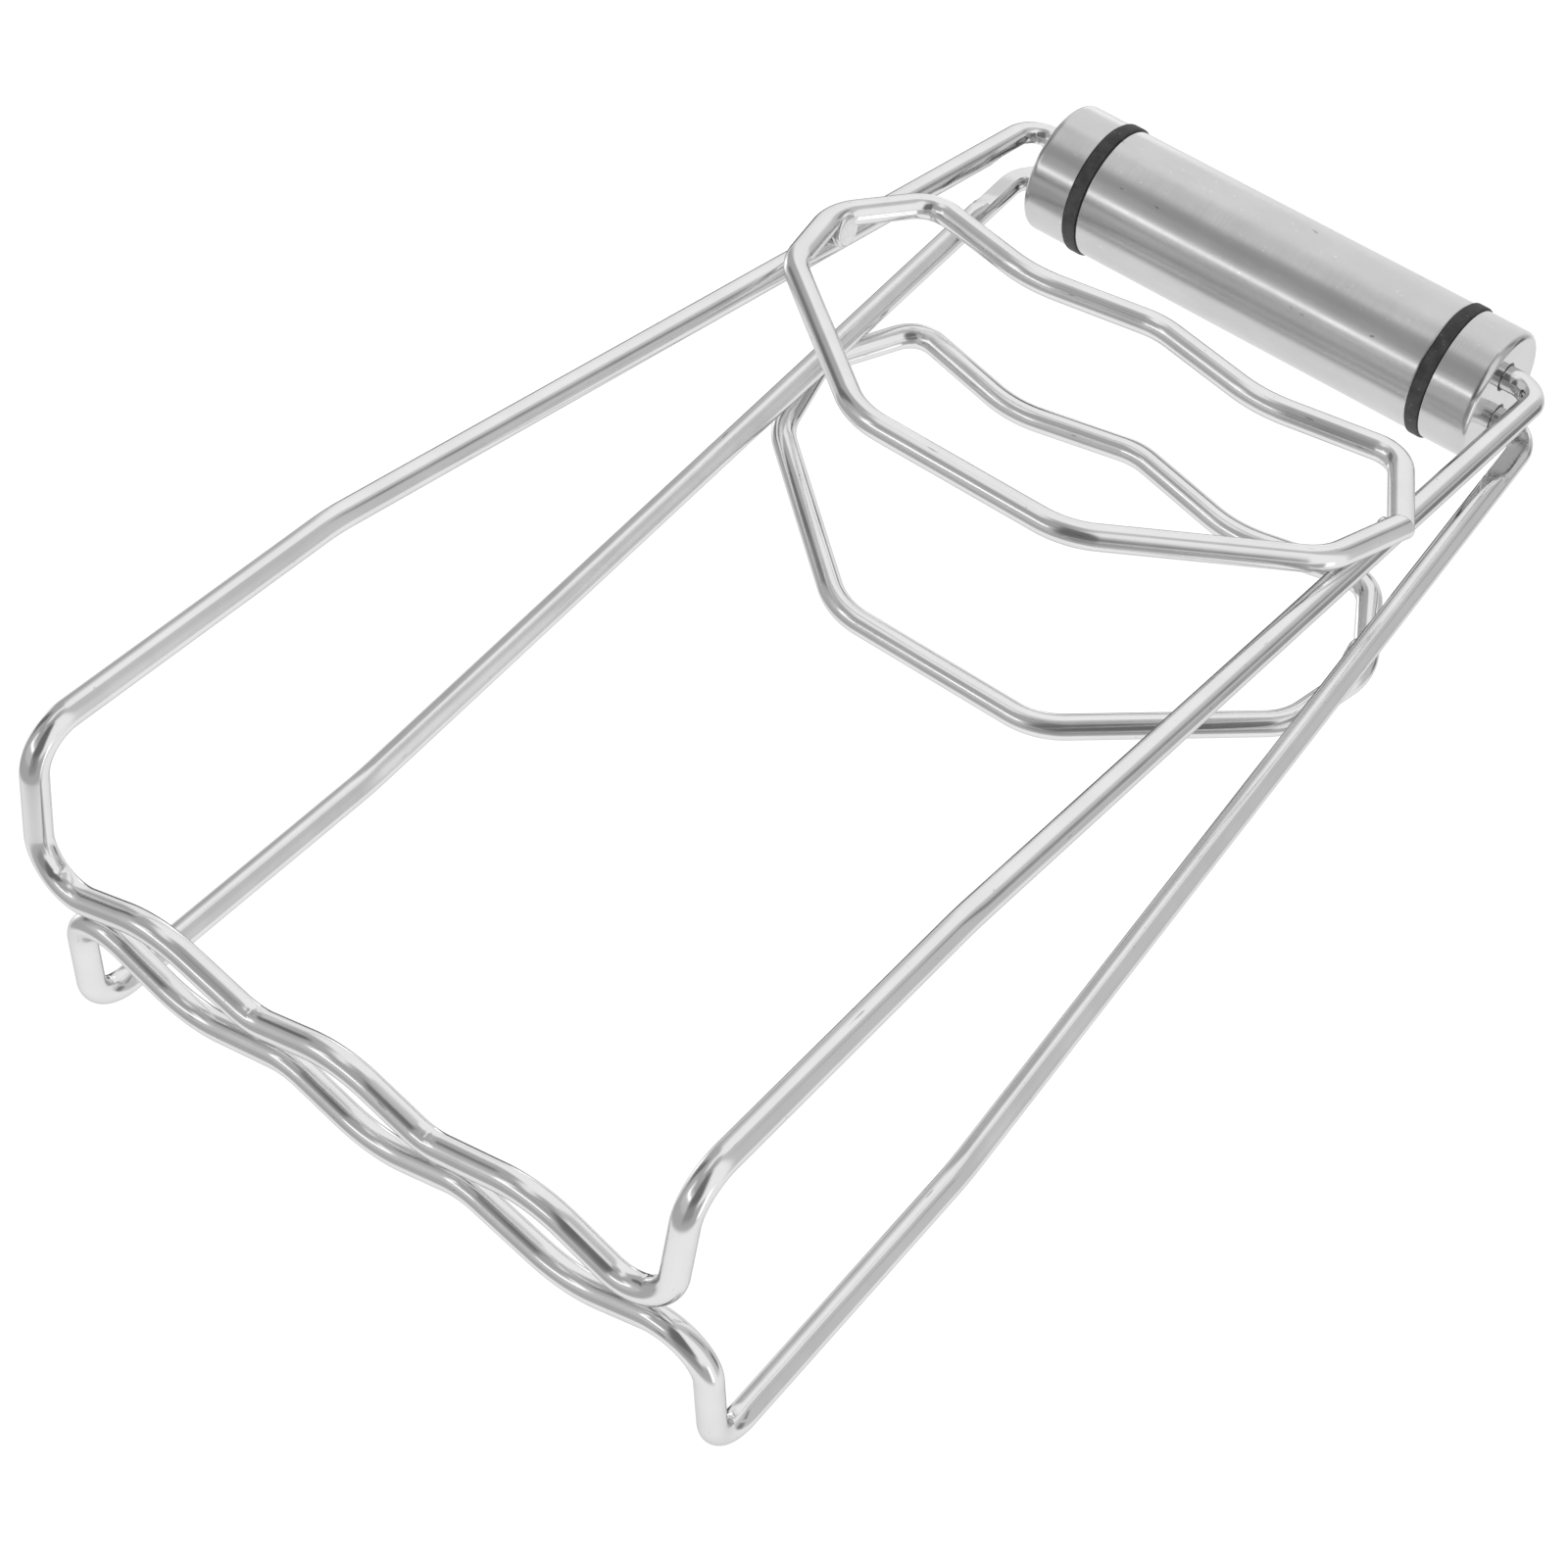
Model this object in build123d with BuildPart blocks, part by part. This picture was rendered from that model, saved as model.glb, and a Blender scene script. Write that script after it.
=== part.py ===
"""Wire jar and dish lifter.

A round steel handle carries two identical bent-wire frames. The second frame is the first one
turned half a turn about the Y axis. Each frame swings on its two inturned wire ends, which sit in
bores in the handle's end caps. A finger loop is welded on the outer face of each frame.

Frame of reference, in millimetres: the origin is the centre of the handle, +X runs along the
handle, -Y runs forward to the jaws and +Z is the normal of the plane between the two frames.
"""

import os

from build123d import *

# ---------------------------------------------------------------- driving dimensions
WIRE_DIAMETER = 4.5

# handle
HANDLE_DIAMETER = 24.5
TUBE_LENGTH = 70.6
TUBE_WALL = 0.8
TUBE_RIM_RADIUS = 0.5
RING_WIDTH = 2.5
RING_PROUD = 0.4
CAP_LENGTH = 9.2
CAP_RIM_RADIUS = 1.3
CAP_WALL = 0.8
CAP_END_WALL = 1.6
SPIGOT_LENGTH = 10.0
EDGE_BREAK = 0.25
FIT_CLEARANCE = 0.02

# pivots
PIVOT_OFFSET = 4.8
PIVOT_CLEARANCE = 0.10
BORE_CHAMFER = 0.45
END_DEPTH = 17.0

# frame: half widths across X, reaches forward of the handle, heights above the middle plane
ARM_HALF_WIDTH = 54.2
KINK_HALF_WIDTH = 60.6
KINK_REACH = 177.0
KINK_HEIGHT = 28.2
CORNER_HALF_WIDTH = 61.6
CORNER_REACH = 238.6
CORNER_HEIGHT = 28.1
JAW_REACH = 241.1
JAW_END_HALF_WIDTH = 60.5
JAW_END_HEIGHT = -1.4
CREST_HALF_SPACING = 36.5
CREST_HEIGHT = 7.4
TROUGH_HALF_SPACING = 16.9
TROUGH_HEIGHT = 1.9
JAW_SHIFT = 3.5

PIVOT_BEND = 5.5
KINK_BEND = 45.0
CORNER_BEND = 7.9
JAW_END_BEND = 8.0
CREST_BEND = 20.0
TROUGH_BEND = 10.0

# flats pressed into the wire where it was clamped for the pivot bends
FLAT_DEPTH = 0.7
FLAT_REACH = 13.0
FLAT_WIDTH = 10.0
FLAT_BACK = 4.0

# finger loop, flat and parallel to the arms
WELD_GAP = 0.2
GRIP_CENTRE_REACH = 39.9
GRIP_DIP_HALF_SPACING = 23.5
GRIP_DIP_REACH = 45.0
GRIP_END_HALF_WIDTH = 48.2
GRIP_END_REACH = 39.6
SHOULDER_HALF_WIDTH = 57.9
SHOULDER_REACH = 56.1
FLANK_HALF_WIDTH = 53.8
FLANK_REACH = 72.8
FRONT_HALF_WIDTH = 20.9
FRONT_REACH = 98.7

GRIP_CENTRE_BEND = 13.5
DIP_BEND = 24.0
GRIP_END_BEND = 6.2
LOOP_BEND = 10.5
FRONT_BEND = 15.0

# welds
SEAM_SETBACK = 0.75
SEAM_RADIUS = 2.6
WELD_RADIUS = 3.0
WELD_PROUD = 0.15
WELD_INSET = 0.75

# ---------------------------------------------------------------- derived dimensions
WIRE_RADIUS = WIRE_DIAMETER / 2
HANDLE_RADIUS = HANDLE_DIAMETER / 2
TUBE_BORE_RADIUS = HANDLE_RADIUS - TUBE_WALL
TUBE_END = TUBE_LENGTH / 2
CAP_START = TUBE_END + RING_WIDTH
CAP_END = CAP_START + CAP_LENGTH
SPIGOT_RADIUS = TUBE_BORE_RADIUS - FIT_CLEARANCE
SPIGOT_END = CAP_START - SPIGOT_LENGTH
ARM_SLOPE = (KINK_HEIGHT - PIVOT_OFFSET) / KINK_REACH
LOOP_LIFT = WIRE_DIAMETER + WELD_GAP
WELD_LENGTH = WIRE_RADIUS + WELD_PROUD - WELD_INSET
HALF_TURN = (0, 180, 0)
LEFT = -1
RIGHT = 1


def sideways(reach):
    """Sideways lean of a frame: it grows evenly from the handle to the jaw."""
    return -JAW_SHIFT * reach / JAW_REACH


def frame_point(side, half_width, reach, height):
    """A corner of the frame wire, with side -1 for the left arm and +1 for the right arm."""
    return (side * half_width + sideways(reach), -reach, height)


def wave_point(side, half_spacing, height):
    """A corner of the wavy jaw bar, with side -1 left of its middle and +1 right of it."""
    return frame_point(side, half_spacing, JAW_REACH, height)


def loop_point(side, half_width, reach):
    """A corner of the finger loop, which lies one wire above the plane of the arms."""
    return (side * half_width, -reach, PIVOT_OFFSET + ARM_SLOPE * reach + LOOP_LIFT)


def arm_centre(side, reach):
    """Centre of an arm's wire at a given reach."""
    spread = (KINK_HALF_WIDTH - ARM_HALF_WIDTH) * reach / KINK_REACH
    return frame_point(side, ARM_HALF_WIDTH + spread, reach, PIVOT_OFFSET + ARM_SLOPE * reach)


def flat_plane(side):
    """Plane of the flat on the inner face of an arm: its Y axis runs back along the arm."""
    inward = Vector(0, -ARM_SLOPE, -1).normalized()
    arm_root = Vector(side * ARM_HALF_WIDTH, 0, PIVOT_OFFSET)
    flat_origin = arm_root + inward * (WIRE_RADIUS - FLAT_DEPTH)
    return Plane(origin=flat_origin, x_dir=(-1, 0, 0), z_dir=inward)


def weld_plane(side):
    """Plane a little inside an arm's centre, level with the gap between the arm and the loop."""
    x, y, z = arm_centre(side, SHOULDER_REACH)
    return Plane(
        origin=(x - side * WELD_INSET, y, z + LOOP_LIFT / 2),
        x_dir=(0, 1, 0),
        z_dir=(-side, 0, 0),
    )


# ---------------------------------------------------------------- handle
with BuildPart() as grip_tube:
    with BuildSketch(Plane.YZ.offset(-TUBE_END)):
        Circle(HANDLE_RADIUS)
        Circle(TUBE_BORE_RADIUS, mode=Mode.SUBTRACT)
    extrude(amount=TUBE_LENGTH)
    tube_rims = grip_tube.edges().filter_by(GeomType.CIRCLE).group_by(SortBy.RADIUS)[-1]
    fillet(tube_rims, TUBE_RIM_RADIUS)
grip_tube.part.label = "grip_tube"

# a cap is a turned cup: its spigot slides into the tube and its end wall holds the wire ends
with BuildPart() as end_cap_right:
    with BuildSketch(Plane.XY):
        with BuildLine():
            Polyline(
                (SPIGOT_END, SPIGOT_RADIUS - CAP_WALL),
                (SPIGOT_END, SPIGOT_RADIUS),
                (CAP_START, SPIGOT_RADIUS),
                (CAP_START, HANDLE_RADIUS),
                (CAP_END, HANDLE_RADIUS),
                (CAP_END, 0),
                (CAP_END - CAP_END_WALL, 0),
                (CAP_END - CAP_END_WALL, HANDLE_RADIUS - CAP_WALL),
                (CAP_START + CAP_WALL, HANDLE_RADIUS - CAP_WALL),
                (CAP_START + CAP_WALL, SPIGOT_RADIUS - CAP_WALL),
                close=True,
            )
        make_face()
    revolve(axis=Axis.X)
    widest_circles = end_cap_right.edges().filter_by(GeomType.CIRCLE).group_by(SortBy.RADIUS)[-1]
    inner_rim, outer_rim = widest_circles.sort_by(Axis.X)
    fillet(outer_rim, CAP_RIM_RADIUS)
    chamfer(inner_rim, EDGE_BREAK)
    with BuildSketch(Plane.YZ.offset(CAP_END)):
        with Locations((0, PIVOT_OFFSET), (0, -PIVOT_OFFSET)):
            Circle(WIRE_RADIUS + PIVOT_CLEARANCE)
    extrude(amount=-CAP_END_WALL, mode=Mode.SUBTRACT)
    mouths = (
        end_cap_right.edges()
        .filter_by(GeomType.CIRCLE)
        .group_by(Axis.X)[-1]
        .filter_by(lambda edge: edge.radius < WIRE_DIAMETER)
    )
    chamfer(mouths, BORE_CHAMFER)
end_cap_right.part.label = "end_cap_right"

with BuildPart() as end_cap_left:
    add(end_cap_right.part, rotation=HALF_TURN)
end_cap_left.part.label = "end_cap_left"

with BuildPart() as rubber_ring_right:
    with BuildSketch(Plane.YZ.offset(TUBE_END)):
        Circle(HANDLE_RADIUS + RING_PROUD)
        Circle(TUBE_BORE_RADIUS, mode=Mode.SUBTRACT)
    extrude(amount=RING_WIDTH)
    ring_rims = rubber_ring_right.edges().filter_by(GeomType.CIRCLE).group_by(SortBy.RADIUS)[-1]
    fillet(ring_rims, RING_PROUD)
rubber_ring_right.part.label = "rubber_ring_right"

with BuildPart() as rubber_ring_left:
    add(rubber_ring_right.part, rotation=HALF_TURN)
rubber_ring_left.part.label = "rubber_ring_left"

# ---------------------------------------------------------------- upper frame wire
left_half = [
    (-(CAP_END - END_DEPTH), 0, PIVOT_OFFSET),
    frame_point(LEFT, ARM_HALF_WIDTH, 0, PIVOT_OFFSET),
    frame_point(LEFT, KINK_HALF_WIDTH, KINK_REACH, KINK_HEIGHT),
    frame_point(LEFT, CORNER_HALF_WIDTH, CORNER_REACH, CORNER_HEIGHT),
    frame_point(LEFT, JAW_END_HALF_WIDTH, JAW_REACH, JAW_END_HEIGHT),
    wave_point(LEFT, CREST_HALF_SPACING, CREST_HEIGHT),
    wave_point(LEFT, TROUGH_HALF_SPACING, TROUGH_HEIGHT),
]
middle_crest = wave_point(RIGHT, 0, CREST_HEIGHT)
right_half = [
    wave_point(RIGHT, TROUGH_HALF_SPACING, TROUGH_HEIGHT),
    wave_point(RIGHT, CREST_HALF_SPACING, CREST_HEIGHT),
    frame_point(RIGHT, JAW_END_HALF_WIDTH, JAW_REACH, JAW_END_HEIGHT),
    frame_point(RIGHT, CORNER_HALF_WIDTH, CORNER_REACH, CORNER_HEIGHT),
    frame_point(RIGHT, KINK_HALF_WIDTH, KINK_REACH, KINK_HEIGHT),
    frame_point(RIGHT, ARM_HALF_WIDTH, 0, PIVOT_OFFSET),
    (CAP_END - END_DEPTH, 0, PIVOT_OFFSET),
]
side_bends = [PIVOT_BEND, KINK_BEND, CORNER_BEND, JAW_END_BEND, CREST_BEND, TROUGH_BEND]
frame_bends = [*side_bends, CREST_BEND, *reversed(side_bends)]

with BuildPart() as upper_frame:
    with BuildLine() as frame_path:
        FilletPolyline(*left_half, middle_crest, *right_half, radius=frame_bends)
    with BuildSketch(Plane(origin=frame_path.line @ 0, z_dir=frame_path.line % 0)):
        Circle(WIRE_RADIUS)
    sweep()
    with BuildSketch(flat_plane(LEFT), flat_plane(RIGHT)):
        with Locations((0, (FLAT_BACK - FLAT_REACH) / 2)):
            Rectangle(FLAT_WIDTH, FLAT_BACK + FLAT_REACH)
    extrude(amount=WIRE_RADIUS, mode=Mode.SUBTRACT)
upper_frame.part.label = "upper_frame"

# ---------------------------------------------------------------- upper finger loop
shoulder_right = Vector(*loop_point(RIGHT, SHOULDER_HALF_WIDTH, SHOULDER_REACH))
grip_end_right = Vector(*loop_point(RIGHT, GRIP_END_HALF_WIDTH, GRIP_END_REACH))
flank_right = Vector(*loop_point(RIGHT, FLANK_HALF_WIDTH, FLANK_REACH))
loop_start = shoulder_right + (grip_end_right - shoulder_right).normalized() * SEAM_SETBACK
loop_finish = shoulder_right + (flank_right - shoulder_right).normalized() * SEAM_SETBACK
loop_bends = [
    GRIP_END_BEND,
    DIP_BEND,
    GRIP_CENTRE_BEND,
    DIP_BEND,
    GRIP_END_BEND,
    LOOP_BEND,
    LOOP_BEND,
    FRONT_BEND,
    FRONT_BEND,
    LOOP_BEND,
]

with BuildPart() as upper_loop:
    with BuildLine() as loop_path:
        FilletPolyline(
            loop_start,
            grip_end_right,
            loop_point(RIGHT, GRIP_DIP_HALF_SPACING, GRIP_DIP_REACH),
            loop_point(RIGHT, 0, GRIP_CENTRE_REACH),
            loop_point(LEFT, GRIP_DIP_HALF_SPACING, GRIP_DIP_REACH),
            loop_point(LEFT, GRIP_END_HALF_WIDTH, GRIP_END_REACH),
            loop_point(LEFT, SHOULDER_HALF_WIDTH, SHOULDER_REACH),
            loop_point(LEFT, FLANK_HALF_WIDTH, FLANK_REACH),
            loop_point(LEFT, FRONT_HALF_WIDTH, FRONT_REACH),
            loop_point(RIGHT, FRONT_HALF_WIDTH, FRONT_REACH),
            flank_right,
            loop_finish,
            radius=loop_bends,
        )
    with BuildSketch(Plane(origin=loop_path.line @ 0, z_dir=loop_path.line % 0)):
        Circle(WIRE_RADIUS)
    sweep()
upper_loop.part.label = "upper_loop"

# ---------------------------------------------------------------- upper welds
with BuildPart() as upper_loop_seam:
    with Locations(shoulder_right):
        Sphere(SEAM_RADIUS)
    add(upper_loop.part, mode=Mode.SUBTRACT)
    add(upper_frame.part, mode=Mode.SUBTRACT)
upper_loop_seam.part.label = "upper_loop_seam"


with BuildPart() as upper_weld_left:
    with BuildSketch(weld_plane(LEFT)):
        Circle(WELD_RADIUS)
    extrude(amount=WELD_LENGTH)
    add(upper_loop.part, mode=Mode.SUBTRACT)
    add(upper_frame.part, mode=Mode.SUBTRACT)
upper_weld_left.part.label = "upper_weld_left"

with BuildPart() as upper_weld_right:
    with BuildSketch(weld_plane(RIGHT)):
        Circle(WELD_RADIUS)
    extrude(amount=WELD_LENGTH)
    add(upper_loop.part, mode=Mode.SUBTRACT)
    add(upper_frame.part, mode=Mode.SUBTRACT)
    add(upper_loop_seam.part, mode=Mode.SUBTRACT)
upper_weld_right.part.label = "upper_weld_right"

# ---------------------------------------------------------------- lower frame, loop and welds
with BuildPart() as lower_frame:
    add(upper_frame.part, rotation=HALF_TURN)
lower_frame.part.label = "lower_frame"

with BuildPart() as lower_loop:
    add(upper_loop.part, rotation=HALF_TURN)
lower_loop.part.label = "lower_loop"

with BuildPart() as lower_loop_seam:
    add(upper_loop_seam.part, rotation=HALF_TURN)
lower_loop_seam.part.label = "lower_loop_seam"

with BuildPart() as lower_weld_left:
    add(upper_weld_right.part, rotation=HALF_TURN)
lower_weld_left.part.label = "lower_weld_left"

with BuildPart() as lower_weld_right:
    add(upper_weld_left.part, rotation=HALF_TURN)
lower_weld_right.part.label = "lower_weld_right"

# ---------------------------------------------------------------- one STEP file for each piece
pieces = [
    grip_tube,
    end_cap_left,
    end_cap_right,
    rubber_ring_left,
    rubber_ring_right,
    upper_frame,
    upper_loop,
    upper_loop_seam,
    upper_weld_left,
    upper_weld_right,
    lower_frame,
    lower_loop,
    lower_loop_seam,
    lower_weld_left,
    lower_weld_right,
]
os.makedirs("parts", exist_ok=True)
for piece in pieces:
    export_step(piece.part, f"parts/{piece.part.label}.step")
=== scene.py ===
import math

import bmesh
import bpy
from mathutils import Matrix, Vector, noise


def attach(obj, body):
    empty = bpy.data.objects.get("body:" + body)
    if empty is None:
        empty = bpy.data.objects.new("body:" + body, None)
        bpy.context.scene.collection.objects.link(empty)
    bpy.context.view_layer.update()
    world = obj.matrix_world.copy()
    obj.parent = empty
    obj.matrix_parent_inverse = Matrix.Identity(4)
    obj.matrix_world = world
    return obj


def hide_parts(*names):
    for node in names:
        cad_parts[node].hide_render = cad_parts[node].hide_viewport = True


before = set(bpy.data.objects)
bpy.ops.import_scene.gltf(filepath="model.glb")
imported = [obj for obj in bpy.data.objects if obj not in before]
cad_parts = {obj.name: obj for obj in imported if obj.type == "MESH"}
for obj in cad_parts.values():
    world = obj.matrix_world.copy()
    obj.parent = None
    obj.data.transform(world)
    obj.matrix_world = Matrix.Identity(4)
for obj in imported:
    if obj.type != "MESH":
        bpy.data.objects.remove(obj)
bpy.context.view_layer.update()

MM = 0.001

# ---------------------------------------------------------------- dimensions, in millimetres
# the wire's skin lies a hair inside the solid wire of the frame
WIRE_RADIUS = 2.247
CAP_END = 47.0
END_DEPTH = 17.0
PIVOT_OFFSET = 4.8
# painted shade: within this radius of each wire's axis the cap's end face is painted dark, with a soft
# edge this wide
BORE_MOUTH_RADIUS = 2.8
BORE_SHADE_EDGE = 0.15
TUBE_END = 36.0
CAP_START = 37.5

ARM_HALF_WIDTH = 54.2
KINK_HALF_WIDTH = 60.6
KINK_REACH = 177.0
KINK_HEIGHT = 28.2
CORNER_HALF_WIDTH = 61.6
CORNER_REACH = 238.6
CORNER_HEIGHT = 28.1
JAW_REACH = 241.1
JAW_END_HALF_WIDTH = 60.5
JAW_END_HEIGHT = -1.4
CREST_HALF_SPACING = 36.5
CREST_HEIGHT = 7.4
TROUGH_HALF_SPACING = 16.9
TROUGH_HEIGHT = 1.9
JAW_SHIFT = 3.5
PIVOT_BEND = 5.5
KINK_BEND = 45.0
CORNER_BEND = 7.9
JAW_END_BEND = 8.0
CREST_BEND = 20.0
TROUGH_BEND = 10.0

# flats pressed aslant into the inner faces of the arms beside the handle
FLAT_DEPTH = 1.05
FLAT_TILT = math.radians(22)
FLAT_REACH = 14.5
FLAT_EASE = 3.0
FLAT_BACK = 4.0
FLAT_HALF_WIDTH = 5.0

LOOP_LIFT = 4.7
GRIP_CENTRE = (0.0, 39.9)
GRIP_DIP = (23.5, 45.0)
GRIP_END = (48.2, 39.6)
SHOULDER = (57.9, 56.1)
FLANK = (53.8, 72.8)
FRONT = (20.9, 98.7)
GRIP_CENTRE_BEND = 13.5
DIP_BEND = 24.0
GRIP_END_BEND = 6.2
LOOP_BEND = 10.5
FRONT_BEND = 15.0

# crumples on the inside of the tight bends
PINCH_DEPTH = 0.13
PINCH_HALF_LENGTH = 0.8
PINCH_SHARPNESS = 6

ARM_SLOPE = (KINK_HEIGHT - PIVOT_OFFSET) / KINK_REACH
LEFT = -1
RIGHT = 1


def sideways(reach):
    """How far the upper frame leans to one side at this distance from the pivot."""
    return -JAW_SHIFT * reach / JAW_REACH


def frame_point(side, half_width, reach, height):
    """A point of the upper frame, on the left or the right."""
    return Vector((side * half_width + sideways(reach), -reach, height))


def loop_point(side, spot):
    """A point of the upper finger loop, which lies flat on the outer face of the arms."""
    half_width, reach = spot
    return Vector((side * half_width, -reach, PIVOT_OFFSET + ARM_SLOPE * reach + LOOP_LIFT))


# ---------------------------------------------------------------- wire shapes
RING_SIDES = 44
RUN_STEP = 1.5
BEND_STEP = 0.35
LEAST_BEND_STEPS = 6
SHARP_ANGLE = math.radians(24)


def bend_path(corners, radii):
    """Samples along runs joined by round bends: place, direction and distance along the wire.

    Also gives each bend's middle: its distance along the wire and the direction to its inside.
    """
    samples = []
    bends = []
    travelled = 0.0
    start = corners[0]
    for before, corner, after, radius in zip(corners, corners[1:], corners[2:], radii):
        back = (before - corner).normalized()
        ahead = (after - corner).normalized()
        inside = (back + ahead).normalized()
        half_angle = back.angle(ahead) / 2
        first = corner + back * (radius / math.tan(half_angle))
        centre = corner + inside * (radius / math.sin(half_angle))
        travelled = add_run(samples, start, first, travelled)
        axis = (-back).cross(ahead).normalized()
        turn = math.pi - 2 * half_angle
        arc = turn * radius
        steps = max(LEAST_BEND_STEPS, math.ceil(arc / BEND_STEP))
        for k in range(steps):
            swing = Matrix.Rotation(turn * k / steps, 3, axis)
            samples.append((centre + swing @ (first - centre), swing @ -back, travelled + arc * k / steps))
        bends.append((travelled + arc / 2, inside))
        travelled += arc
        start = centre + Matrix.Rotation(turn, 3, axis) @ (first - centre)
    travelled = add_run(samples, start, corners[-1], travelled)
    samples.append((corners[-1], (corners[-1] - start).normalized(), travelled))
    return samples, bends


def add_run(samples, start, finish, travelled):
    """Adds evenly spaced samples along a straight run and gives the distance at its end."""
    run = finish - start
    steps = max(1, math.ceil(run.length / RUN_STEP))
    for k in range(steps):
        share = k / steps
        samples.append((start + run * share, run.normalized(), travelled + run.length * share))
    return travelled + run.length


def sweep_wire(name, samples, radius_at, mitre=None):
    """A wire along the samples, with radius_at(place, outward, distance) as its local radius.

    A mitre, a point and a normal, cuts both ends of the wire on one plane.
    """
    mesh = bmesh.new()
    uv = mesh.loops.layers.uv.new("wire")
    around = 2 * math.pi * WIRE_RADIUS
    side = samples[0][1].orthogonal().normalized()
    rings = []
    for number, (place, ahead, distance) in enumerate(samples):
        side = (side - ahead * side.dot(ahead)).normalized()
        up = ahead.cross(side)
        is_end = number in (0, len(samples) - 1)
        ring = []
        for k in range(RING_SIDES):
            angle = 2 * math.pi * k / RING_SIDES
            outward = side * math.cos(angle) + up * math.sin(angle)
            spot = place + outward * radius_at(place, outward, distance)
            if mitre and is_end:
                point, normal = mitre
                spot += ahead * ((point - spot).dot(normal) / ahead.dot(normal))
            ring.append(mesh.verts.new(spot * MM))
        rings.append(ring)
    for (lower, upper), (low, high) in zip(zip(rings, rings[1:]), zip(samples, samples[1:])):
        for k in range(RING_SIDES):
            after = (k + 1) % RING_SIDES
            face = mesh.faces.new((lower[k], lower[after], upper[after], upper[k]))
            face.smooth = True
            spots = ((k, low), (k + 1, low), (k + 1, high), (k, high))
            for loop, (step, sample) in zip(face.loops, spots):
                loop[uv].uv = (step / RING_SIDES, sample[2] / around)
    mesh.faces.new(list(reversed(rings[0])))
    mesh.faces.new(rings[-1])
    mesh.normal_update()
    for edge in mesh.edges:
        edge.smooth = edge.calc_face_angle() < SHARP_ANGLE
    return new_object(name, mesh)


def new_object(name, mesh):
    data = bpy.data.meshes.new(name)
    mesh.to_mesh(data)
    mesh.free()
    made = bpy.data.objects.new(name, data)
    bpy.context.scene.collection.objects.link(made)
    return made


def fade(distance, middle, half_length):
    """1 at the middle, falling smoothly to 0 at half_length away."""
    share = abs(distance - middle) / half_length
    return 0.0 if share >= 1.0 else (1 - share * share) ** 2


def pinched_radius(bends, outward, distance):
    """The wire's radius, less where a tight bend has crumpled its inside."""
    radius = WIRE_RADIUS
    for middle, inside in bends:
        facing = max(0.0, outward.dot(inside))
        radius -= PINCH_DEPTH * fade(distance, middle, PINCH_HALF_LENGTH) * facing**PINCH_SHARPNESS
    return radius


def upper_frame_half(side):
    """The frame's corners on one side, from the wire's end in the cap to the jaw bar."""
    return [
        Vector((side * (CAP_END - END_DEPTH), 0.0, PIVOT_OFFSET)),
        frame_point(side, ARM_HALF_WIDTH, 0.0, PIVOT_OFFSET),
        frame_point(side, KINK_HALF_WIDTH, KINK_REACH, KINK_HEIGHT),
        frame_point(side, CORNER_HALF_WIDTH, CORNER_REACH, CORNER_HEIGHT),
        frame_point(side, JAW_END_HALF_WIDTH, JAW_REACH, JAW_END_HEIGHT),
        frame_point(side, CREST_HALF_SPACING, JAW_REACH, CREST_HEIGHT),
        frame_point(side, TROUGH_HALF_SPACING, JAW_REACH, TROUGH_HEIGHT),
    ]


def upper_frame_wire(name):
    middle_crest = frame_point(RIGHT, 0.0, JAW_REACH, CREST_HEIGHT)
    corners = upper_frame_half(LEFT) + [middle_crest] + upper_frame_half(RIGHT)[::-1]
    side_radii = [PIVOT_BEND, KINK_BEND, CORNER_BEND, JAW_END_BEND, CREST_BEND, TROUGH_BEND]
    radii = side_radii + [CREST_BEND] + side_radii[::-1]
    samples, bends = bend_path(corners, radii)
    tight_bends = [bend for bend, radius in zip(bends, radii) if radius <= TROUGH_BEND]
    # both arms are pressed from one direction, so their flats lean the same way
    press = Vector((math.tan(FLAT_TILT), -ARM_SLOPE, -1.0)).normalized()

    def radius_at(place, outward, distance):
        radius = pinched_radius(tight_bends, outward, distance)
        reach = -place.y
        if -FLAT_BACK < reach < FLAT_REACH and abs(place.x) > ARM_HALF_WIDTH - FLAT_HALF_WIDTH:
            depth = FLAT_DEPTH * min(1.0, (FLAT_REACH - reach) / FLAT_EASE)
            facing = outward.dot(press)
            if facing * radius > WIRE_RADIUS - depth:
                radius = (WIRE_RADIUS - depth) / facing
        return radius

    return sweep_wire(name, samples, radius_at)


def upper_loop_wire(name):
    corners = [loop_point(RIGHT, spot) for spot in (SHOULDER, GRIP_END, GRIP_DIP, GRIP_CENTRE)]
    corners += [loop_point(LEFT, spot) for spot in (GRIP_DIP, GRIP_END, SHOULDER, FLANK, FRONT)]
    corners += [loop_point(RIGHT, spot) for spot in (FRONT, FLANK, SHOULDER)]
    radii = [GRIP_END_BEND, DIP_BEND, GRIP_CENTRE_BEND, DIP_BEND, GRIP_END_BEND]
    radii += [LOOP_BEND, LOOP_BEND, FRONT_BEND, FRONT_BEND, LOOP_BEND]
    samples, bends = bend_path(corners, radii)
    tight_bends = [bend for bend, radius in zip(bends, radii) if radius == GRIP_END_BEND]
    mitre = (corners[0], (samples[0][1] + samples[-1][1]).normalized())

    def radius_at(place, outward, distance):
        return pinched_radius(tight_bends, outward, distance)

    return sweep_wire(name, samples, radius_at, mitre)


# ---------------------------------------------------------------- welds
SEAM_BEAD_RADIUS = 2.28
SEAM_BEAD_HALF_WIDTH = 0.35
SEAM_WAVINESS = 0.035
SEAM_WAVE_SCALE = 5.0
NUGGET_HALF_LENGTH = 3.0
NUGGET_HALF_HEIGHT = 3.3
NUGGET_LIFT = 0.5
NUGGET_TILT = math.radians(5)
NUGGET_FACE = 2.75
NUGGET_FOOT = 0.6
NUGGET_SIDES = 64
NUGGET_WAVINESS = 0.07
NUGGET_DENT = 0.08
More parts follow.
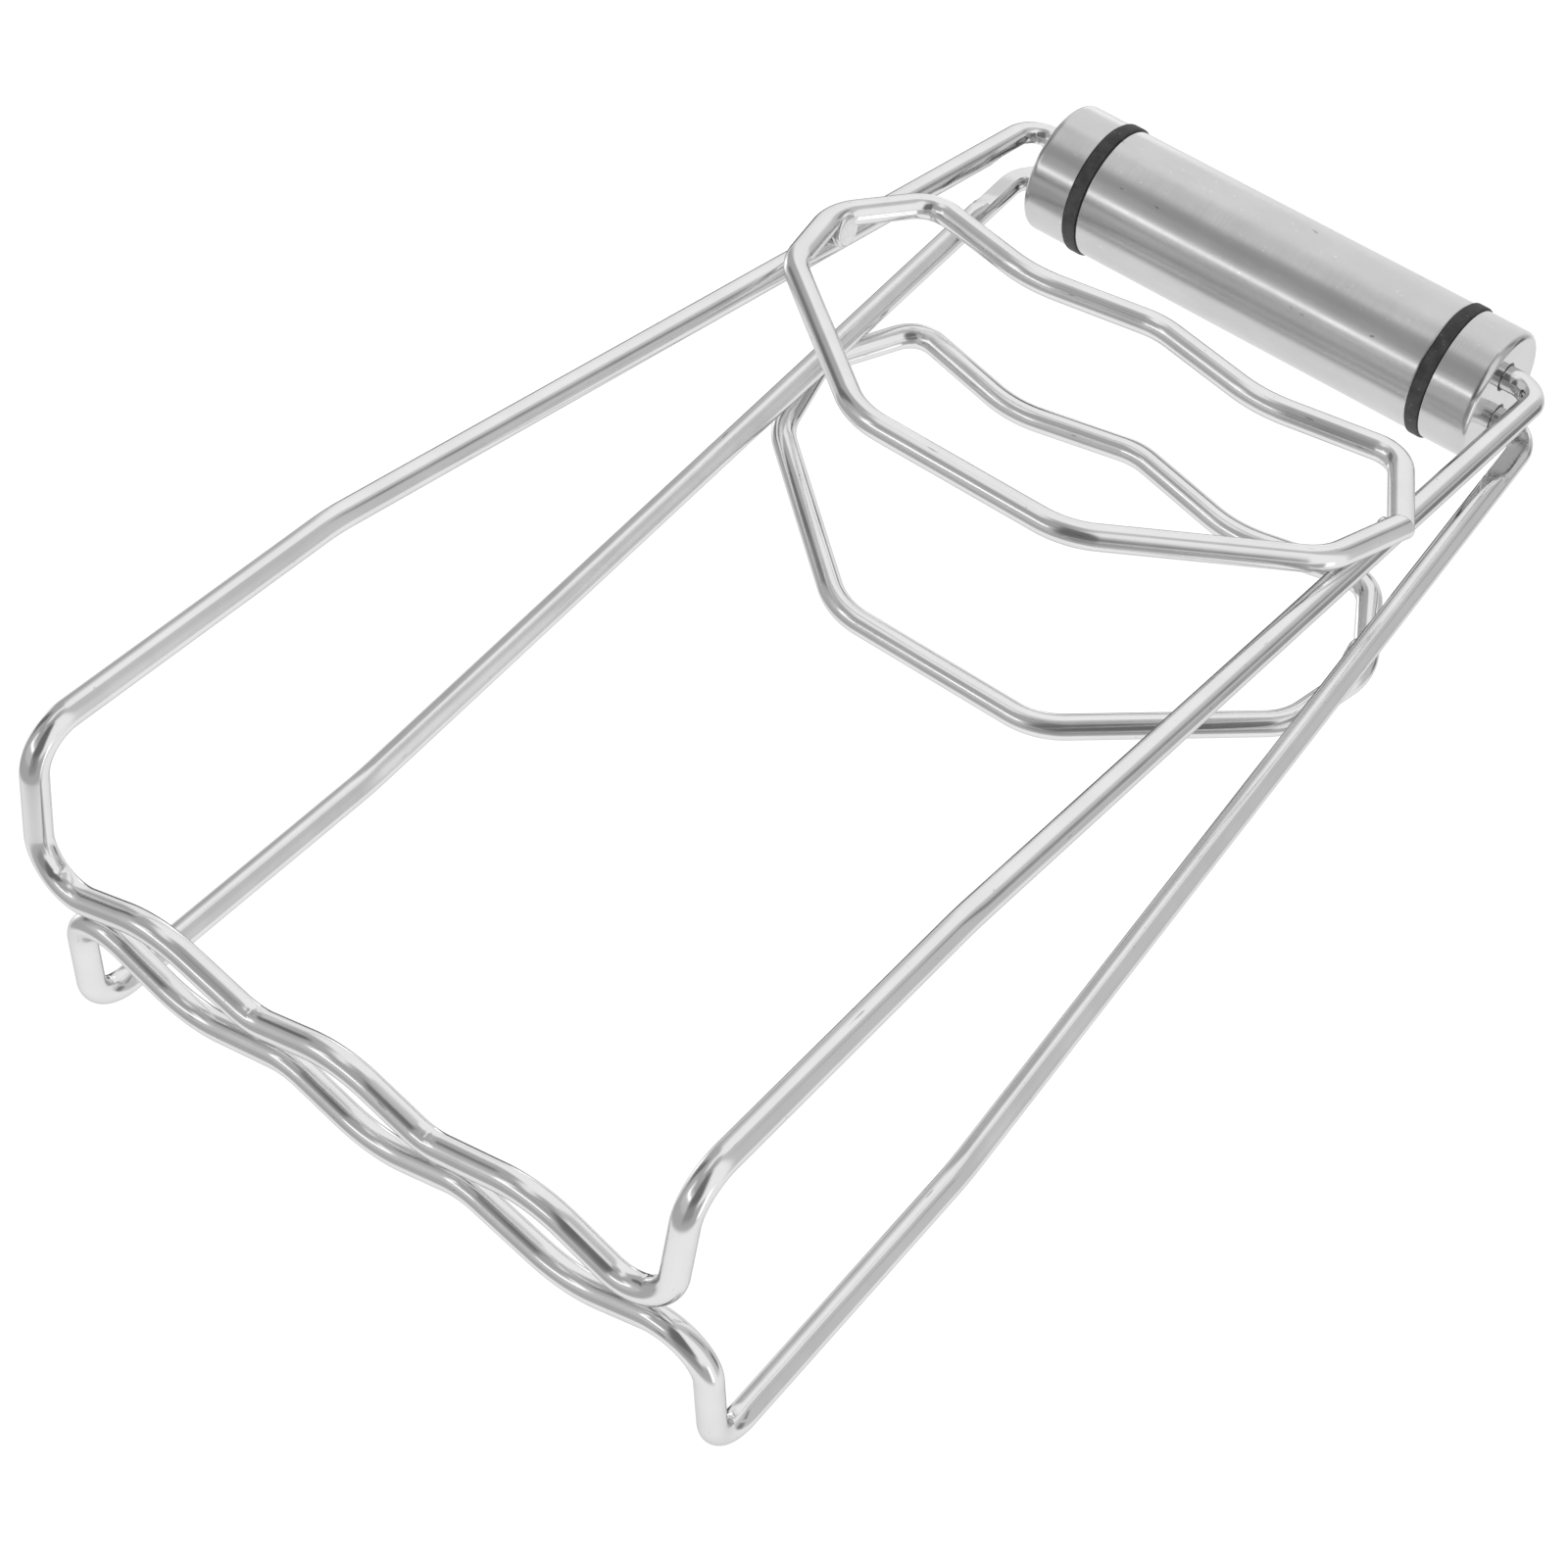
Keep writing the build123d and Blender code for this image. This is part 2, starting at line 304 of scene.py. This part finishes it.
# the worn rim: how far below the face, and its share of the full outline
NUGGET_RIM = ((0.6, 1.0), (0.35, 0.97), (0.15, 0.91), (0.04, 0.83), (0.0, 0.72), (0.0, 0.5), (0.0, 0.25))


def seam_bead(name):
    """A thin, slightly uneven bead of weld metal round the mitred joint of the loop."""
    joint = loop_point(RIGHT, SHOULDER)
    towards_grip = (loop_point(RIGHT, GRIP_END) - joint).normalized()
    towards_flank = (loop_point(RIGHT, FLANK) - joint).normalized()
    across = (towards_grip - towards_flank).normalized()
    outer = (towards_grip + towards_flank).normalized()
    upward = across.cross(outer)
    stretch = 1 / math.cos(towards_grip.angle(-towards_flank) / 2)
    mesh = bmesh.new()
    bmesh.ops.create_icosphere(mesh, subdivisions=5, radius=1.0)
    for vert in mesh.verts:
        uneven = 1 + SEAM_WAVINESS * noise.noise(vert.co * SEAM_WAVE_SCALE)
        spot = across * (vert.co.x * SEAM_BEAD_HALF_WIDTH)
        spot += outer * (vert.co.y * SEAM_BEAD_RADIUS * stretch * uneven)
        spot += upward * (vert.co.z * SEAM_BEAD_RADIUS * uneven)
        vert.co = (joint + spot) * MM
    for face in mesh.faces:
        face.smooth = True
    return new_object(name, mesh)


def weld_nugget(name, side, size, seed):
    """The nugget pressed into the valley between a loop and an arm, with a flat, worn face.

    The size scales the whole nugget, and the seed picks its uneven outline.
    """
    spread = (KINK_HALF_WIDTH - ARM_HALF_WIDTH) * SHOULDER[1] / KINK_REACH
    height = PIVOT_OFFSET + ARM_SLOPE * SHOULDER[1]
    arm = frame_point(side, ARM_HALF_WIDTH + spread, SHOULDER[1], height)
    centre = arm + Vector((0, 0, LOOP_LIFT / 2 + NUGGET_LIFT * size))
    facing = Vector((-side * math.cos(NUGGET_TILT), 0, math.sin(NUGGET_TILT)))
    along = Vector((0, 1, 0))
    upward = facing.cross(along) * -side
    profile = [(NUGGET_FOOT, 1.0)] + [(NUGGET_FACE - below, share) for below, share in NUGGET_RIM]
    mesh = bmesh.new()
    rings = []
    for depth, share in profile:
        ring = []
        for k in range(NUGGET_SIDES):
            angle = 2 * math.pi * k / NUGGET_SIDES
            across = math.cos(angle)
            rise = math.sin(angle)
            wobble = 1 + NUGGET_WAVINESS * noise.noise(Vector((across, rise, seed)))
            dent = NUGGET_DENT * noise.noise(Vector((2 * share * across, 2 * share * rise, -seed)))
            spot = along * (NUGGET_HALF_LENGTH * size * share * wobble * across)
            spot += upward * (NUGGET_HALF_HEIGHT * size * share * wobble * rise)
            ring.append(mesh.verts.new((centre + spot + facing * (depth * size + dent)) * MM))
        rings.append(ring)
    for lower, upper in zip(rings, rings[1:]):
        for k in range(NUGGET_SIDES):
            after = (k + 1) % NUGGET_SIDES
            mesh.faces.new((lower[k], lower[after], upper[after], upper[k])).smooth = True
    mesh.faces.new(rings[-1]).smooth = True
    mesh.faces.new(rings[0][::-1])
    bmesh.ops.recalc_face_normals(mesh, faces=mesh.faces)
    return new_object(name, mesh)


# ---------------------------------------------------------------- node helpers
class Nodes:
    """Short calls for adding and linking the nodes of one tree."""

    def __init__(self, tree):
        self.tree = tree
        tree.nodes.clear()

    def add(self, kind, **settings):
        node = self.tree.nodes.new(kind)
        for key, value in settings.items():
            setattr(node, key, value)
        return node

    def put(self, value, socket):
        """Links a socket, or sets a plain value."""
        if isinstance(value, bpy.types.NodeSocket):
            self.tree.links.new(value, socket)
        else:
            socket.default_value = value

    def math(self, operation, a, b=0.0, clamp=False):
        node = self.add("ShaderNodeMath", operation=operation, use_clamp=clamp)
        self.put(a, node.inputs[0])
        self.put(b, node.inputs[1])
        return node.outputs[0]

    def scaled(self, vector, scale):
        node = self.add("ShaderNodeVectorMath", operation="MULTIPLY")
        self.put(vector, node.inputs[0])
        node.inputs[1].default_value = scale
        return node.outputs[0]

    def split(self, vector):
        node = self.add("ShaderNodeSeparateXYZ")
        self.put(vector, node.inputs[0])
        return node.outputs

    def ramp(self, value, low, high, to_low=0.0, to_high=1.0):
        node = self.add("ShaderNodeMapRange", interpolation_type="SMOOTHSTEP")
        self.put(value, node.inputs["Value"])
        self.put(low, node.inputs["From Min"])
        self.put(high, node.inputs["From Max"])
        self.put(to_low, node.inputs["To Min"])
        self.put(to_high, node.inputs["To Max"])
        return node.outputs["Result"]

    def noise(self, vector, scale, detail=2.0, roughness=0.5):
        node = self.add("ShaderNodeTexNoise")
        self.put(vector, node.inputs["Vector"])
        node.inputs["Scale"].default_value = scale
        node.inputs["Detail"].default_value = detail
        node.inputs["Roughness"].default_value = roughness
        return node.outputs["Fac"]

    def mix_colour(self, factor, a, b):
        node = self.add("ShaderNodeMix", data_type="RGBA")
        self.put(factor, node.inputs["Factor"])
        self.put(a, node.inputs[6])
        self.put(b, node.inputs[7])
        return node.outputs[2]

    def mix_value(self, factor, a, b):
        node = self.add("ShaderNodeMix", data_type="FLOAT")
        self.put(factor, node.inputs[0])
        self.put(a, node.inputs[2])
        self.put(b, node.inputs[3])
        return node.outputs[0]

    def bump(self, height, distance):
        node = self.add("ShaderNodeBump")
        node.inputs["Distance"].default_value = distance
        self.put(height, node.inputs["Height"])
        return node.outputs["Normal"]

    def wrapped(self, angle):
        """The angle brought into the range from -pi to pi."""
        node = self.add("ShaderNodeMath", operation="WRAP")
        self.put(angle, node.inputs[0])
        node.inputs[1].default_value = math.pi
        node.inputs[2].default_value = -math.pi
        return node.outputs[0]


def grey(level):
    return (level, level, level, 1.0)


def new_material(name):
    material = bpy.data.materials.new(name)
    material.use_nodes = True
    return material, Nodes(material.node_tree)


def finish_material(n, shader):
    output = n.add("ShaderNodeOutputMaterial")
    n.tree.links.new(shader.outputs[0], output.inputs["Surface"])


# ---------------------------------------------------------------- materials
# greys and roughness are (lowest, highest), and the depths of the fine textures are in metres
WIRE_GREYS = (0.86, 0.91)
WIRE_ROUGHNESS = (0.12, 0.20)
HANDLE_GREYS = (0.66, 0.71)
HANDLE_ROUGHNESS = (0.21, 0.26)
CAP_FACE_ROUGHNESS = 0.14
WELD_GREYS = (0.80, 0.88)
WELD_ROUGHNESS = (0.20, 0.26)
RUBBER_GREYS = (0.055, 0.095)
RUBBER_ROUGHNESS = (0.62, 0.78)
STEEL_TEXTURE_DEPTH = 0.00001
WELD_TEXTURE_DEPTH = 0.000004
RUBBER_TEXTURE_DEPTH = 0.00004
# nearly all of a noise's values lie in the first range, and of the sum of two in the second
NOISE_RANGE = (0.3, 0.7)
TWO_NOISES_RANGE = (0.7, 1.3)


def cloudy_grey(n, cloud, greys):
    """A grey that drifts between two levels with the cloud."""
    dark, pale = greys
    return n.mix_colour(n.ramp(cloud, *NOISE_RANGE), grey(dark), grey(pale))


def drifting_roughness(n, first, second, limits):
    """A roughness that drifts between its limits with the sum of two textures."""
    return n.ramp(n.math("ADD", first, second), *TWO_NOISES_RANGE, *limits)


def wire_steel():
    """Drawn and polished wire: fine lines along its length, specks, scratches and a wavy skin."""
    material, n = new_material("polished_wire_steel")
    place = n.add("ShaderNodeTexCoord").outputs["Object"]
    uv = n.add("ShaderNodeUVMap", uv_map="wire").outputs[0]
    lines = n.noise(n.scaled(uv, (34.0, 0.5, 1.0)), 1.0, 3.0, 0.6)
    cloud = n.noise(place, 110.0, 3.0)
    sway = n.noise(place, 75.0, 1.0)
    pits = n.ramp(n.noise(place, 1700.0, 1.0), 0.77, 0.83)
    scratches = n.ramp(n.noise(n.scaled(uv, (22.0, 2.6, 1.0)), 1.0, 1.0), 0.75, 0.81)
    marks = n.math("MAXIMUM", pits, scratches)
    shader = n.add("ShaderNodeBsdfPrincipled")
    shader.inputs["Metallic"].default_value = 1.0
    shader.inputs["Specular Tint"].default_value = grey(0.75)
    clean = cloudy_grey(n, cloud, WIRE_GREYS)
    n.put(n.mix_colour(marks, clean, grey(0.50)), shader.inputs["Base Color"])
    n.put(drifting_roughness(n, cloud, lines, WIRE_ROUGHNESS), shader.inputs["Roughness"])
    height = n.math("ADD", n.math("MULTIPLY", lines, 0.3), n.math("MULTIPLY", sway, 6.0))
    height = n.math("SUBTRACT", height, n.math("MULTIPLY", marks, 0.5))
    n.put(n.bump(height, STEEL_TEXTURE_DEPTH), shader.inputs["Normal"])
    finish_material(n, shader)
    return material


def painted_bore_shade(n, place):
    """1 where shade is painted dark into the gap round each wire end in the cap's end face, 0 elsewhere.
    """
    y, z = n.split(place)[1:]
    off_axis = n.math("SUBTRACT", n.math("ABSOLUTE", z), PIVOT_OFFSET * MM)
    squared = n.math("ADD", n.math("MULTIPLY", y, y), n.math("MULTIPLY", off_axis, off_axis))
    shade_start = BORE_MOUTH_RADIUS - BORE_SHADE_EDGE
    return n.ramp(n.math("SQRT", squared), shade_start * MM, BORE_MOUTH_RADIUS * MM, 1.0, 0.0)


def handle_steel():
    """Satin tube and caps, brushed round the handle, with polished end faces, specks, dents and painted
    shade round the wire ends.
    """
    material, n = new_material("brushed_handle_steel")
    coordinates = n.add("ShaderNodeTexCoord")
    place = coordinates.outputs["Object"]
    end_facing = n.math("ABSOLUTE", n.split(coordinates.outputs["Normal"])[0])
    polished = n.ramp(end_facing, 0.6, 0.9)
    off_centre = n.math("ABSOLUTE", n.split(place)[0])
    on_cap = n.ramp(off_centre, TUBE_END * MM, CAP_START * MM)
    bore_shade_paint = painted_bore_shade(n, place)
    brush = n.noise(n.scaled(place, (4200.0, 70.0, 70.0)), 1.0, 2.0, 0.6)
    grain = n.noise(place, 1300.0, 2.0)
    cloud = n.noise(place, 120.0, 3.0)
    smear = n.noise(n.scaled(place, (1.0, 2.2, 2.2)), 60.0, 4.0, 0.6)
    dents = n.ramp(n.noise(n.scaled(place, (300.0, 600.0, 600.0)), 1.0, 1.0), 0.775, 0.81)
    specks = n.ramp(n.noise(place, 2100.0, 0.0), 0.80, 0.86)
    shader = n.add("ShaderNodeBsdfPrincipled")
    shader.inputs["Metallic"].default_value = 1.0
    shader.inputs["Anisotropic"].default_value = 0.65
    shader.inputs["Anisotropic Rotation"].default_value = 0.25
    tangent = n.add("ShaderNodeTangent", direction_type="RADIAL", axis="X")
    n.put(tangent.outputs[0], shader.inputs["Tangent"])
    satin = cloudy_grey(n, smear, HANDLE_GREYS)
    marked = n.mix_colour(dents, satin, grey(0.45))
    steel = n.mix_colour(specks, marked, grey(0.85))
    # painted shade: the bore mouths round the wire ends are painted dark grey to stand in for the shadow
    # in the gap
    n.put(n.mix_colour(bore_shade_paint, steel, grey(0.12)), shader.inputs["Base Color"])
    rough = drifting_roughness(n, brush, cloud, HANDLE_ROUGHNESS)
    n.put(n.mix_value(polished, rough, CAP_FACE_ROUGHNESS), shader.inputs["Roughness"])
    brush_depth = n.mix_value(on_cap, 0.05, 0.9)
    texture = n.math("ADD", n.math("MULTIPLY", brush, brush_depth), n.math("MULTIPLY", grain, 0.1))
    height = n.mix_value(polished, n.math("SUBTRACT", texture, dents), 0.0)
    n.put(n.bump(height, STEEL_TEXTURE_DEPTH), shader.inputs["Normal"])
    finish_material(n, shader)
    return material


def weld_steel():
    """Weld metal, paler and duller than the wire, a little uneven, with fine grinding marks."""
    material, n = new_material("weld_steel")
    place = n.add("ShaderNodeTexCoord").outputs["Object"]
    cloud = n.noise(place, 500.0, 3.0)
    marks = n.noise(n.scaled(place, (700.0, 3600.0, 700.0)), 1.0, 2.0)
    shader = n.add("ShaderNodeBsdfPrincipled")
    shader.inputs["Metallic"].default_value = 1.0
    n.put(cloudy_grey(n, cloud, WELD_GREYS), shader.inputs["Base Color"])
    n.put(drifting_roughness(n, cloud, marks, WELD_ROUGHNESS), shader.inputs["Roughness"])
    n.put(n.bump(n.math("ADD", cloud, marks), WELD_TEXTURE_DEPTH), shader.inputs["Normal"])
    finish_material(n, shader)
    return material


def ring_rubber():
    """Dull dark rubber with a fine grain and pale dust specks."""
    material, n = new_material("black_rubber")
    place = n.add("ShaderNodeTexCoord").outputs["Object"]
    cloud = n.noise(place, 500.0, 3.0)
    grain = n.noise(place, 2600.0, 3.0)
    dust = n.ramp(n.noise(place, 1700.0, 1.0), 0.68, 0.78)
    shader = n.add("ShaderNodeBsdfPrincipled")
    dark = cloudy_grey(n, cloud, RUBBER_GREYS)
    n.put(n.mix_colour(n.math("MULTIPLY", dust, 0.5), dark, grey(0.33)), shader.inputs["Base Color"])
    n.put(n.ramp(cloud, *NOISE_RANGE, *RUBBER_ROUGHNESS), shader.inputs["Roughness"])
    shader.inputs["Specular IOR Level"].default_value = 0.35
    n.put(n.bump(grain, RUBBER_TEXTURE_DEPTH), shader.inputs["Normal"])
    finish_material(n, shader)
    return material


# ---------------------------------------------------------------- pieces
WIRE = wire_steel()
HANDLE = handle_steel()
WELD = weld_steel()
RUBBER = ring_rubber()

for node_name in ("grip_tube", "end_cap_left", "end_cap_right", "rubber_ring_left", "rubber_ring_right"):
    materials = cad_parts[node_name].data.materials
    materials.clear()
    materials.append(RUBBER if "ring" in node_name else HANDLE)


def place_piece(piece, node_name, body, material):
    """Stands the piece for its CAD node and lets it ride on the node's body."""
    piece.data.materials.append(material)
    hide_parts(node_name)
    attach(piece, body)


def turned_copy(piece, name):
    """The same piece after half a turn about the Y axis."""
    data = piece.data.copy()
    data.name = name
    data.transform(Matrix.Rotation(math.pi, 4, "Y"))
    copy = bpy.data.objects.new(name, data)
    bpy.context.scene.collection.objects.link(copy)
    return copy


upper = {
    "frame": upper_frame_wire("upper_frame_wire"),
    "loop": upper_loop_wire("upper_loop_wire"),
    "loop_seam": seam_bead("upper_seam_bead"),
    "weld_left": weld_nugget("upper_nugget_left", LEFT, size=1.0, seed=5.0),
    "weld_right": weld_nugget("upper_nugget_right", RIGHT, size=0.55, seed=9.0),
}
turned_part = {
    "frame": "frame",
    "loop": "loop",
    "loop_seam": "loop_seam",
    "weld_left": "weld_right",
    "weld_right": "weld_left",
}
turned_name = {
    "frame": "lower_frame_wire",
    "loop": "lower_loop_wire",
    "loop_seam": "lower_seam_bead",
    "weld_left": "lower_nugget_right",
    "weld_right": "lower_nugget_left",
}
lower = {turned_part[part]: turned_copy(piece, turned_name[part]) for part, piece in upper.items()}
for level, parts in (("upper", upper), ("lower", lower)):
    for part, piece in parts.items():
        is_wire = part in ("frame", "loop")
        place_piece(piece, f"{level}_{part}", f"{level}_jaw", WIRE if is_wire else WELD)


# ---------------------------------------------------------------- floor, light and camera
FLOOR_SLOPE = 0.0718
REST_POINT = Vector((0.0, -0.0987, -0.0251))
FLOOR_HALF_SIZE = 3.0
FLOOR_GREY = 0.9
FLOOR_GLOW = 0.95
FLOOR_STRENGTH = 1.1

CAMERA_PLACE = Vector((0.2321, -0.4785, 0.4409))
CAMERA_FORWARD = Vector((-0.3778, 0.5501, -0.7447)).normalized()
CAMERA_RIGHT = Vector((0.7852, 0.6166, 0.0572))
LENS_MM = 87.41
SENSOR_MM = 36.0
NEAREST = 0.05
FARTHEST = 20.0


def add_floor():
    material, n = new_material("floor_white")
    diffuse = n.add("ShaderNodeBsdfDiffuse")
    diffuse.inputs["Color"].default_value = grey(FLOOR_GREY)
    glow = n.add("ShaderNodeEmission")
    glow.inputs["Strength"].default_value = FLOOR_STRENGTH
    mix = n.add("ShaderNodeMixShader")
    mix.inputs[0].default_value = FLOOR_GLOW
    n.tree.links.new(diffuse.outputs[0], mix.inputs[1])
    n.tree.links.new(glow.outputs[0], mix.inputs[2])
    finish_material(n, mix)

    half = FLOOR_HALF_SIZE
    corners = [(-half, -half), (half, -half), (half, half), (-half, half)]
    points = [(x, y, FLOOR_SLOPE * (y - REST_POINT.y) + REST_POINT.z) for x, y in corners]
    mesh = bpy.data.meshes.new("floor")
    mesh.from_pydata(points, [], [(0, 1, 2, 3)])
    mesh.materials.append(material)
    floor = bpy.data.objects.new("floor", mesh)
    bpy.context.scene.collection.objects.link(floor)
    floor.visible_glossy = False


# Soft studio: each patch of the tent is (azimuth, elevation, half width, half height, softness, level).
# Azimuth is 0 in front of the jaws and grows towards +X, and all angles are in degrees.
TENT_LEVEL = 0.90
STUDIO_PATCHES = [
    (0, 84, 190, 9, 10, 0.42),  # middle of the roof
    (0, 72, 42, 14, 14, 0.36),  # front of the roof
    (-20, 45, 60, 15, 12, 0.38),  # front of the tent, high up
    (-35, 14, 55, 18, 12, 0.54),  # front of the tent, half way up
    (0, -20, 90, 18, 10, 0.42),  # front edge of the table
    (-92, 24, 32, 36, 14, 0.42),  # side wall, left
    (140, 28, 28, 55, 16, 0.55),  # side wall, right
    (-86, 20, 10, 20, 10, 0.15),  # dark stand, left
    (143, 28, 6, 18, 6, 0.25),  # gap in the side wall, right
    (146, -14, 8, 12, 6, 0.20),  # clamp, right
    (-138, -26, 14, 11, 6, 0.08),  # dark cloth, behind on the left
    (26, 6, 24, 24, 14, 0.28),  # below the camera opening
    (30, 40, 26, 30, 14, 0.14),  # camera opening
    (-42, 28, 5, 12, 5, 1.00),  # strip light, front left
    (-25, 22, 20, 2.5, 4, 1.90),  # thin strip light, across the front
    (-105, -18, 6, 12, 5, 1.50),  # reflector, left
    (84, -18, 6, 16, 5, 1.50),  # reflector, right
    (-153, -8, 4, 9, 4, 1.50),  # lamp, behind
]


def inside_band(n, distance, half_width, softness):
    """1 within the half width and 0 outside it, with a soft edge; the last two in degrees."""
    inner = math.radians(half_width - softness / 2)
    outer = math.radians(half_width + softness / 2)
    return n.ramp(distance, inner, outer, 1.0, 0.0)


def add_world():
    world = bpy.data.worlds.new("studio")
    bpy.context.scene.world = world
    world.use_nodes = True
    n = Nodes(world.node_tree)
    x, y, z = n.split(n.add("ShaderNodeTexCoord").outputs["Generated"])
    azimuth = n.math("ARCTAN2", x, n.math("MULTIPLY", y, -1.0))
    elevation = n.math("ARCSINE", z)
    level = TENT_LEVEL
    for where_az, where_el, half_az, half_el, soft, patch_level in STUDIO_PATCHES:
        around = n.math("SUBTRACT", azimuth, math.radians(where_az))
        around = n.math("ABSOLUTE", n.wrapped(around))
        above = n.math("ABSOLUTE", n.math("SUBTRACT", elevation, math.radians(where_el)))
        inside_az = inside_band(n, around, half_az, soft)
        inside_el = inside_band(n, above, half_el, soft)
        level = n.mix_value(n.math("MULTIPLY", inside_az, inside_el), level, patch_level)
    studio = n.add("ShaderNodeBackground")
    n.put(level, studio.inputs["Strength"])
    backdrop = n.add("ShaderNodeBackground")
    mix = n.add("ShaderNodeMixShader")
    n.tree.links.new(n.add("ShaderNodeLightPath").outputs["Is Camera Ray"], mix.inputs[0])
    n.tree.links.new(studio.outputs[0], mix.inputs[1])
    n.tree.links.new(backdrop.outputs[0], mix.inputs[2])
    for background in (studio, backdrop):
        background.inputs["Color"].default_value = grey(1.0)
    output = n.add("ShaderNodeOutputWorld")
    n.tree.links.new(mix.outputs[0], output.inputs["Surface"])


def add_camera():
    data = bpy.data.cameras.new("camera")
    data.lens = LENS_MM
    data.sensor_width = SENSOR_MM
    data.clip_start = NEAREST
    data.clip_end = FARTHEST
    camera = bpy.data.objects.new("camera", data)
    bpy.context.scene.collection.objects.link(camera)
    back = -CAMERA_FORWARD
    right = (CAMERA_RIGHT - back * CAMERA_RIGHT.dot(back)).normalized()
    turn = Matrix((right, back.cross(right), back)).transposed()
    camera.matrix_world = Matrix.Translation(CAMERA_PLACE) @ turn.to_4x4()
    bpy.context.scene.camera = camera


add_floor()
add_world()
add_camera()
bpy.context.scene.view_settings.view_transform = "Standard"
